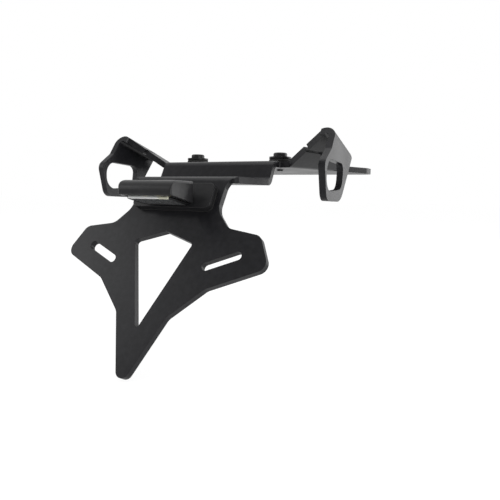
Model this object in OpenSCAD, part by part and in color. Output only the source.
// Motorcycle licence plate holder: one folded sheet with two wings, a plate lamp and two sheet bolts.
// Millimetres. X is to the right, Y is forward, Z is up.
// The origin lies midway between the two bolt holes, on the top face of the sheet.

/* [Sheet] */
// Thickness of the folded aluminium sheet
sheet_t = 5; // [3:0.5:6]
// Inside radius of every fold
fold_r = 3; // [1:0.5:5]
// Lean of the number plate panel from the vertical, degrees
plate_lean = 28.5; // [20:0.5:35]

/* [Plate panel] */
// Widest half width of the panel
panel_half = 85.3; // [75:0.1:95]
// Half width at the narrowest point of the neck
neck_half = 37.2; // [32:0.1:40]
// Distance of the neck's narrowest point below the fold
neck_drop = 27; // [22:0.5:30]
// Distance of the panel's tip below the fold
tip_drop = 151.5; // [140:0.5:165]
// Width of a plate slot
slot_w = 6.1; // [5:0.1:8]
// Overall length of a plate slot
slot_l = 29.5; // [20:0.5:34]
// Slope of a plate slot, degrees
slot_slope = 23.4; // [10:0.1:35]

/* [Shelf and step] */
// Half width of the shelf at the rear fold
shelf_half = 44.8; // [40:0.1:50]
// Half width of the step up to the main sheet
step_half = 52; // [48:0.5:56]
// Length of the shelf, rear fold to step
shelf_len = 42; // [30:0.5:55]
// Rise of the step, top face to top face
step_rise = 15; // [12:0.5:20]

/* [Main sheet] */
// Forward distance of the sheet's rear edge from the rear fold
main_rear = 60.5; // [56:0.5:64]
// Forward distance of the sheet's front edge from the rear fold
main_front = 171; // [150:1:190]
// Half width at the front
main_half = 103; // [90:0.5:110]
// Forward distance of the bolt holes from the rear fold
bolt_y = 87; // [78:0.5:100]
// Half spacing of the bolt holes
bolt_half = 41.7; // [36:0.1:44]
// Thread diameter of the sheet bolts
bolt_d = 6; // [5:0.5:8]

/* [Wings] */
// Outer half width over the wing ends
wing_half = 103; // [98:0.5:110]
// Half width at the wing's lower fold, at the fold's reference point
root_half = 58; // [55:0.5:62]
// Flare of the lower fold from straight ahead, degrees
root_flare = 24; // [15:0.5:30]
// Rise of the wing from the sheet, degrees
wing_rise = 33; // [25:0.5:40]
// Width of the cable notch
notch_w = 3; // [2:0.5:7]
// Diameter of the hole at the notch's end
notch_hole_d = 6; // [4:0.5:10]

/* [Lamp] */
// Half width of the lamp's base
base_half = 33; // [30:0.5:36]
// Thickness of the base
base_t = 5; // [4:0.5:7]
// Thickness of the seal under the base
seal_t = 1; // [0.5:0.5:2]
// Half width of the lamp housing
hood_half = 22; // [20:0.5:25]
// Thread diameter of the lamp screws
lamp_screw_d = 4; // [3:0.5:5]

/* [Build] */

/* [Hidden] */
$fn = 64;

sheet_black = [0.16, 0.16, 0.17];
steel_black = [0.10, 0.10, 0.11];
rubber_black = [0.07, 0.07, 0.07];
lamp_black = [0.13, 0.13, 0.14];

fold_out = fold_r + sheet_t;                 // outside radius of a fold
panel_turn = 90 - plate_lean;                // fold angle between panel and shelf
k_panel = tan(panel_turn / 2);
step_top = shelf_len + step_rise * tan(plate_lean);

// Panel outline, half width and drop below the rear fold
v_shoulder = [49.3, 40.8];
v_ear = [74.7, 45];
v_wide = [panel_half, 67.2];
v_waist = [44.3, 85.4];
v_leg = [20.8, 108];
v_tip = [0, 160.7];
window_top = 45.5;
window_side = [25.2, 53.8];
window_end = 120.1;
slot_at = [50.8, 65.1];

// Wing directions
cr = cos(root_flare);
sr = sin(root_flare);
cw = cos(wing_rise);
sw = sin(wing_rise);
root_y = 58;
wing_end_y = 112;
e_f = [sr, cr, 0];
e_g = [cr * cw, -sr * cw, sw];
e_n = [-cr * sw, sr * sw, cw];
ridge_drop = atan(tan(wing_rise) * sr);
e_r = [0, cos(ridge_drop), -sin(ridge_drop)];
e_b = [0, sin(ridge_drop), cos(ridge_drop)];
ridge_turn = acos(e_n[0]);
k_root = tan(wing_rise / 2);
k_ridge = tan(ridge_turn / 2);
h_in = [e_r[1] * e_n[2] - e_r[2] * e_n[1], e_r[2] * e_n[0] - e_r[0] * e_n[2], e_r[0] * e_n[1] - e_r[1] * e_n[0]];
ridge_x = wing_half - fold_out * k_ridge * h_in[0];

// The height of the wing's top plane, measured from the shelf's top face
function wing_z(x, y) = step_rise + ((x - root_half) * cr - (y - root_y) * sr) * sw / cw;
function wing_st(x, y) = [((x - root_half) * cr - (y - root_y) * sr) / cw, (x - root_half) * sr + (y - root_y) * cr];
function root_x(y) = root_half + (y - root_y) * sr / cr;
function unit(v) = v / norm(v);

// A rigid frame: origin and three directions
module frame(o, ex, ey, ez) {
  multmatrix([[ex[0], ey[0], ez[0], o[0]], [ex[1], ey[1], ez[1], o[1]], [ex[2], ey[2], ez[2], o[2]], [0, 0, 0, 1]]) children();
}

// The sliver between a sharp corner p and its rounding, reaching a little past the corner.
// The arc runs a hair into both sides, so that it crosses them and never only touches them.
module corner(a, p, b, r) {
  u = unit(a - p);
  w = unit(b - p);
  m = unit(u + w);
  half = acos(u * w) / 2;
  near = r - 0.02;
  d = near / tan(half);
  nu = unit((w * u) * u - w);
  nw = unit((w * u) * w - u);
  c = p + m * near / sin(half);
  difference() {
    polygon([p - m, p + u * d + nu, p + u * d, c, p + w * d, p + w * d + nw]);
    translate(c) circle(r = r);
  }
}

module slot2d(l, w) {
  square([l - w, w], center = true);
  for (s = [-1, 1]) translate([s * (l - w) / 2, 0]) circle(d = w);
}

module mirrored() {
  children();
  mirror([1, 0, 0]) children();
}

// Places a piece that is drawn on the panel's rear face: x across, y up the panel, z out of the face
module on_panel() { rotate([panel_turn, 0, 0]) children(); }

// Moves everything from the rear fold to the shared origin
module placed() { translate([0, -bolt_y, -step_rise]) children(); }

function down(v) = [v[0], -v[1]];
function flip(v) = [-v[0], v[1]];

// The number plate panel's outline, with its window and two slots
module panel_outline() {
  p1 = down(v_shoulder);
  p2 = down(v_ear);
  p3 = down(v_wide);
  p4 = down(v_waist);
  p5 = down(v_leg);
  p6 = down(v_tip);
  rim = [shelf_half - 1.7, 0];
  neck = [neck_half, -neck_drop];
  flare = [neck_half + 1, -5.5];
  difference() {
    union() {
      polygon([rim, flare, neck, p1, p2, p3, p4, p5, p6, flip(p5), flip(p4), flip(p3), flip(p2), flip(p1), flip(neck), flip(flare), flip(rim)]);
      mirrored() {
        corner(flare, neck, p1, 14);
        corner(rim, flare, neck, 12);
        corner(p3, p4, p5, 9);
        corner(p4, p5, p6, 10);
        corner(neck, p1, p2, 10);
      }
    }
    mirrored() {
      corner(p1, p2, p3, 7);
      corner(p2, p3, p4, 7);
    }
    corner(p5, p6, flip(p5), 5.4);
    difference() {
      polygon([[0, -window_top], [window_side[0], -window_side[1]], [0, -window_end], [-window_side[0], -window_side[1]]]);
      mirrored() corner([0, -window_top], [window_side[0], -window_side[1]], [0, -window_end], 2.5);
      corner([window_side[0], -window_side[1]], [0, -window_end], [-window_side[0], -window_side[1]], 2);
    }
    mirrored() translate(down(slot_at)) rotate(slot_slope) slot2d(slot_l, slot_w);
  }
}

lamp_at = 19;        // drop of the lamp's centre below the rear fold
lamp_screw_half = 25;
grommet_d = 9;

module panel() {
  on_panel() difference() {
    translate([0, 0, -sheet_t]) linear_extrude(height = sheet_t) panel_outline();
    translate([0, -lamp_at, -sheet_t / 2]) {
      cylinder(h = 2 * sheet_t, d = grommet_d, center = true);
      for (s = [-1, 1]) translate([s * lamp_screw_half, 0, 0]) cylinder(h = 2 * sheet_t, d = lamp_screw_d + 0.3, center = true);
    }
  }
}

// A prism along X of a shape drawn in the plane of Y and Z
module along_x(half) { translate([-half, 0, 0]) rotate([90, 0, 90]) linear_extrude(height = 2 * half) children(); }

main_side_y = 152;

// The side profile of shelf, step and main sheet
module core_profile() {
  k = sheet_t * k_panel;
  a0 = [0, 0];
  a1 = [shelf_len, 0];
  a2 = [step_top, step_rise];
  a3 = [main_front + 5, step_rise];
  b0 = [0, -sheet_t];
  b1 = [shelf_len + k, -sheet_t];
  b2 = [step_top + k, step_rise - sheet_t];
  b3 = [main_front + 5, step_rise - sheet_t];
  difference() {
    union() {
      polygon([a0, a1, a2, a3, b3, b2, b1, b0]);
      corner(a0, a1, a2, fold_r);
      corner(b1, b2, b3, fold_r);
    }
    corner(b0, b1, b2, fold_out);
    corner(a1, a2, a3, fold_out);
  }
}

// The plan outline of shelf, step and main sheet
module core_outline() {
  over = sheet_t * k_root / cr;
  front_y = shelf_len - fold_r * k_panel;
  p0 = [shelf_half - 1.6, 0];
  p0b = [shelf_half, 4];
  p1 = [step_half, front_y];
  p2 = [step_half, main_rear];
  q0 = [root_x(main_rear) + over, main_rear];
  q1 = [root_x(wing_end_y) + over, wing_end_y];
  q2 = [main_half, main_side_y];
  q3 = [main_half, main_front];
  difference() {
    union() {
      polygon([p0, p0b, p1, p2, q0, q1, q2, q3, flip(q3), flip(q2), flip(q1), flip(q0), flip(p2), flip(p1), flip(p0b), flip(p0)]);
      mirrored() corner(p1, p2, q0, 2);
    }
    mirrored() {
      corner(q2, q3, flip(q3), 8);
      corner(q1, q2, q3, 12);
      translate([bolt_half, bolt_y]) circle(d = bolt_d);
    }
  }
}

module core() {
  intersection() {
    along_x(main_half + 10) core_profile();
    translate([0, 0, -20]) linear_extrude(height = 60) core_outline();
  }
}

// Inside and outside rounding of the rear fold
rear_in = [sheet_t * k_panel, -sheet_t];
module rear_fold_fill() { along_x(neck_half) corner([40, -sheet_t], rear_in, rear_in - 20 * [sin(plate_lean), cos(plate_lean)], fold_r); }
module rear_fold_cut() { along_x(shelf_half + 5) corner([20, 0], [0, 0], -20 * [sin(plate_lean), cos(plate_lean)], fold_out); }

// Outline of the wing end seen from the side, as forward distance and height
end_top = [48.5, 39.8];
end_back = [36, 21.8];
end_low = [20.8, 11];
end_heel = [27.8, -16];
end_toe = [64, -16.6];
end_front = [94, 20.5];
module end_outline() {
  difference() {
    union() {
      polygon([end_top, end_back, end_low, end_heel, end_toe, end_front, [88, 29], [70, 42], [52, 48]]);
      corner(end_top, end_back, end_low, 7);
    }
    corner(end_back, end_low, end_heel, 7);
    corner(end_low, end_heel, end_toe, 8);
    corner(end_heel, end_toe, end_front, 18);
    corner(end_toe, end_front, [88, 29], 4);
    end_window();
  }
}

// The large rounded opening for an indicator
module end_window() {
  a = [26.4, 14.6];
  b = [69, 12.6];
  c = [66, -6.8];
  d = [26.4, -9.9];
  difference() {
    polygon([a, b, c, d]);
    corner(d, a, b, 10.5);
    corner(a, b, c, 6);
    corner(b, c, d, 9);
    corner(c, d, a, 10.5);
  }
}

// A prism along the wing's lower fold, drawn across the fold, from t0 to t1 along it
module along_root(t0, t1) {
  translate([root_half, root_y, step_rise]) rotate([0, 0, -root_flare]) rotate([90, 0, 0]) translate([0, 0, -t1]) linear_extrude(height = t1 - t0) children();
}
root_t0 = wing_st(root_x(main_rear), main_rear)[1];
root_t1 = wing_st(root_x(wing_end_y), wing_end_y)[1];
root_out = [sheet_t * k_root, -sheet_t];
module root_fill() {
  intersection() {
    along_root(root_t0 - 3, root_t1) corner([-20, 0], [0, 0], 20 * [cw, sw], fold_r);
    translate([0, main_rear + 2, -50]) cube([200, 200, 200]);
  }
}
module root_cut() { along_root(root_t0 - 5, root_t1) corner([-20, -sheet_t], root_out, root_out + 20 * [cw, sw], fold_out); }

// The wing's profile across its upper fold; the origin is the fold's outer corner
module ridge_profile() {
  h = [h_in[0], h_in * e_b];
  v_in = [-sheet_t, -sheet_t * k_ridge];
  b0 = -60 * h;
  b1 = b0 + sheet_t * [h[1], -h[0]];
  difference() {
    union() {
      polygon([b0, [0, 0], [0, -75], [-sheet_t, -75], v_in, b1]);
      corner(b1, v_in, [-sheet_t, -75], fold_r);
    }
    corner(b0, [0, 0], [0, -75], fold_out);
  }
}

// The rising blade's outline in its own plane, with the cable notch from its rear edge
module blade_outline() {
  r0 = wing_st(root_x(main_rear), main_rear);
  r1 = wing_st(ridge_x, 48.5);
  f1 = wing_st(ridge_x, 88);
  f0 = wing_st(root_x(wing_end_y), wing_end_y);
  s0 = -sheet_t * k_root;
  back = unit(r1 - r0);
  fore = [-back[1], back[0]];
  rear_edge = norm(r1 - r0);
  mouth = r0 + 0.52 * rear_edge * back;
  well = mouth + 0.5 * rear_edge * fore;
  difference() {
    polygon([[s0, r0[1] + 1.6], [0, r0[1] + 0.8], r1, f1, f0, [s0, f0[1]]]);
    translate(well) circle(d = notch_hole_d);
    translate((mouth + well) / 2 - 2 * fore) rotate(atan2(fore[1], fore[0])) square([0.5 * rear_edge + 4, notch_w], center = true);
  }
}

module wing() {
  intersection() {
    frame([wing_half, root_y, wing_z(wing_half, root_y)], [1, 0, 0], e_b, -e_r) translate([0, 0, -75]) linear_extrude(height = 150) ridge_profile();
    union() {
      frame([root_half, root_y, step_rise], e_g, e_f, e_n) translate([0, 0, -sheet_t - 1]) linear_extrude(height = sheet_t + 2) blade_outline();
      translate([ridge_x, 0, 0]) rotate([90, 0, 90]) linear_extrude(height = wing_half - ridge_x + 2) end_outline();
    }
  }
}

module bracket() {
  color(sheet_black) placed() difference() {
    union() {
      panel();
      core();
      rear_fold_fill();
      mirrored() {
        wing();
        root_fill();
      }
    }
    rear_fold_cut();
    mirrored() root_cut();
  }
}

// The two bolts that hold the sheet, each with a washer and a rubber cushion
cushion_t = 4.2;
washer_t = 1.6;
washer_d = 19;
bolt_len = cushion_t + washer_t + sheet_t + 1.4;

module sheet_bolt(side) {
  head_h = 0.6 * bolt_d;
  color(steel_black) placed() translate([side * bolt_half, bolt_y, step_rise + cushion_t + washer_t]) {
    translate([0, 0, -bolt_len]) cylinder(h = bolt_len, d = bolt_d);
    difference() {
      rotate_extrude() difference() {
        square([bolt_d, head_h]);
        corner([0, head_h], [bolt_d, head_h], [bolt_d, 0], 0.4 * head_h);
      }
      translate([0, 0, 0.4 * head_h]) cylinder(h = head_h, d = 0.77 * bolt_d, $fn = 6);
    }
  }
}

module ring(d1, d0, h) {
  difference() {
    cylinder(h = h, d = d1);
    translate([0, 0, -1]) cylinder(h = h + 2, d = d0);
  }
}

module sheet_washer(side) {
  color(steel_black) placed() translate([side * bolt_half, bolt_y, step_rise + cushion_t]) ring(washer_d, bolt_d + 0.4, washer_t);
}

module sheet_cushion(side) {
  color(rubber_black) placed() translate([side * bolt_half, bolt_y, step_rise]) ring(washer_d, bolt_d + 0.4, cushion_t);
}

module bolt_left() { sheet_bolt(-1); }
module bolt_right() { sheet_bolt(1); }
module washer_left() { sheet_washer(-1); }
module washer_right() { sheet_washer(1); }
module cushion_left() { sheet_cushion(-1); }
module cushion_right() { sheet_cushion(1); }

// The plate lamp
base_high = 20;      // height of the base up the panel
stem_half = 13;
hood_y0 = -48;
hood_y1 = -20;
hood_top = -4.4;
hood_low0 = -14.4;   // underside of the housing at its rear
hood_low1 = -19.9;   // underside of the housing at its front
hood_slope = atan((hood_low0 - hood_low1) / (hood_y1 - hood_y0));

module base_plate(h, grow) {
  linear_extrude(height = h) difference() {
    a = [base_half + grow, base_high / 2 + grow];
    b = [base_half + grow, -base_high / 2 - grow];
    polygon([a, b, flip(b), flip(a)]);
    mirrored() {
      corner(flip(a), a, b, 4);
      corner(a, b, flip(b), 4);
    }
  }
}

module lamp_seal() {
  color(rubber_black) placed() on_panel() translate([0, -lamp_at, 0]) difference() {
    base_plate(seal_t, 0);
    translate([0, 0, -1]) {
      cylinder(h = seal_t + 2, d = grommet_d);
      for (s = [-1, 1]) translate([s * lamp_screw_half, 0, 0]) cylinder(h = seal_t + 2, d = lamp_screw_d + 0.3);
    }
  }
}

stem_low = -17;
stem_high = -8.5;
pocket = 3;

// The stem runs level from the inclined base to the housing
module stem_bar(y0, y1) { translate([-stem_half, y0, stem_low]) cube([2 * stem_half, y1 - y0, stem_high - stem_low]); }

module lamp_base() {
  wire_d = 5;
  color(lamp_black) placed() difference() {
    union() {
      on_panel() translate([0, -lamp_at, seal_t]) base_plate(base_t, 0);
      difference() {
        stem_bar(hood_y1 - pocket, 0);
        on_panel() translate([-60, -60, seal_t - 40]) cube([120, 120, 40]);
      }
    }
    translate([0, hood_y1 - pocket - 1, (stem_low + stem_high) / 2]) rotate([-90, 0, 0]) cylinder(h = 9, d = wire_d);
    on_panel() translate([0, -lamp_at, 0]) cylinder(h = 9.5, d = wire_d + 0.8);
    on_panel() translate([0, -lamp_at, seal_t]) for (s = [-1, 1]) translate([s * lamp_screw_half, 0, -1]) cylinder(h = 1 + 0.8 * base_t, d = lamp_screw_d);
  }
}

module in_hood() { translate([0, hood_y1, hood_low1]) rotate([-hood_slope, 0, 0]) children(); }
hood_len = (hood_y1 - hood_y0) / cos(hood_slope);
cav_half = hood_half - 2.5;
cav_y0 = -hood_len + 3.5;
cav_y1 = -6.5;
cav_h = 5;
board_t = 1.4;
led_h = 1.4;
lens_in = 1.4;
lens_out = 1.8;
lens_half = hood_half - 3.5;

module lamp_housing() {
  color(lamp_black) placed() difference() {
    intersection() {
      translate([-hood_half, 0, 0]) rotate([90, 0, 90]) linear_extrude(height = 2 * hood_half) difference() {
        polygon([[hood_y0, hood_low0], [hood_y1, hood_low1], [hood_y1, hood_top], [hood_y0, hood_top]]);
        corner([hood_y1, hood_top], [hood_y0, hood_top], [hood_y0, hood_low0], 7.5);
        corner([hood_y0, hood_top], [hood_y1, hood_top], [hood_y1, hood_low1], 1.5);
        corner([hood_y0, hood_top], [hood_y0, hood_low0], [hood_y1, hood_low1], 1);
      }
      translate([0, 0, -40]) linear_extrude(height = 60) difference() {
        a = [hood_half, hood_y1];
        b = [hood_half, hood_y0];
        polygon([a, b, flip(b), flip(a)]);
        mirrored() {
          corner(flip(a), a, b, 2);
          corner(a, b, flip(b), 1.5);
        }
      }
      translate([0, hood_y1 + 5, 0]) rotate([90, 0, 0]) linear_extrude(height = hood_y1 - hood_y0 + 10) difference() {
        a = [hood_half, hood_top];
        b = [hood_half, hood_low1 - 1];
        polygon([a, b, flip(b), flip(a)]);
        mirrored() corner(flip(a), a, b, 2);
      }
    }
    in_hood() translate([-cav_half, cav_y0, -5]) cube([2 * cav_half, cav_y1 - cav_y0, 5 + cav_h]);
    stem_bar(hood_y1 - pocket, hood_y1 + 1);
    translate([0, hood_y1 - 10, (stem_low + stem_high) / 2]) rotate([-90, 0, 0]) cylinder(h = 20, d = 5);
  }
}

module lamp_lens() {
  color([0.93, 0.95, 0.97, 0.6]) placed() in_hood() {
    translate([-cav_half, cav_y0, 0]) cube([2 * cav_half, cav_y1 - cav_y0, lens_in]);
    translate([0, 0, -lens_out]) linear_extrude(height = lens_out) difference() {
      a = [lens_half, -1.5];
      b = [lens_half, cav_y0 + 1];
      polygon([a, b, flip(b), flip(a)]);
      mirrored() {
        corner(flip(a), a, b, 2);
        corner(a, b, flip(b), 3);
      }
    }
  }
}

module lamp_board() {
  color([0.82, 0.84, 0.80]) placed() in_hood() translate([-cav_half, cav_y0, cav_h - board_t]) cube([2 * cav_half, cav_y1 - cav_y0, board_t]);
}

module lamp_leds() {
  led = [3.5, 2.8];
  color([0.96, 0.90, 0.62]) placed() in_hood()
    for (i = [-1, 0, 1], j = [0.28, 0.72])
      translate([i * cav_half * 0.62, cav_y0 + j * (cav_y1 - cav_y0), cav_h - board_t - led_h / 2]) cube([led[0], led[1], led_h], center = true);
}

module lamp_grommet() {
  lip = 1.5;
  color(rubber_black) placed() on_panel() translate([0, -lamp_at, 0]) difference() {
    union() {
      translate([0, 0, -sheet_t]) cylinder(h = sheet_t + seal_t, d = grommet_d);
      translate([0, 0, -sheet_t - lip]) rotate_extrude() difference() {
        square([grommet_d / 2 + 2.5, lip]);
        corner([0, 0], [grommet_d / 2 + 2.5, 0], [grommet_d / 2 + 2.5, lip], 0.8);
      }
    }
    translate([0, 0, -sheet_t - lip - 1]) cylinder(h = sheet_t + lip + seal_t, d = 5);
  }
}

lamp_washer_t = 0.8;
lamp_screw_len = 10;

module lamp_screw(side) {
  head_h = 0.65 * lamp_screw_d;
  color(steel_black) placed() on_panel() translate([side * lamp_screw_half, -lamp_at, -sheet_t - lamp_washer_t]) {
    cylinder(h = lamp_screw_len, d = lamp_screw_d);
    difference() {
      translate([0, 0, -head_h]) rotate_extrude() difference() {
        square([lamp_screw_d, head_h]);
        corner([0, 0], [lamp_screw_d, 0], [lamp_screw_d, head_h], 0.6 * head_h);
      }
      translate([0, 0, -head_h - 0.5]) for (a = [0, 90]) rotate(a) translate([-0.55 * lamp_screw_d, -0.12 * lamp_screw_d, 0]) cube([1.1 * lamp_screw_d, 0.24 * lamp_screw_d, 0.5 + 0.6 * head_h]);
    }
  }
}

module lamp_washer(side) {
  color(steel_black) placed() on_panel() translate([side * lamp_screw_half, -lamp_at, -sheet_t - lamp_washer_t]) ring(2.25 * lamp_screw_d, lamp_screw_d + 0.3, lamp_washer_t);
}

module lamp_screw_left() { lamp_screw(-1); }
module lamp_screw_right() { lamp_screw(1); }
module lamp_washer_left() { lamp_washer(-1); }
module lamp_washer_right() { lamp_washer(1); }

bracket();
bolt_left();
bolt_right();
washer_left();
washer_right();
cushion_left();
cushion_right();
lamp_seal();
lamp_base();
lamp_housing();
lamp_lens();
lamp_board();
lamp_leds();
lamp_grommet();
lamp_screw_left();
lamp_screw_right();
lamp_washer_left();
lamp_washer_right();
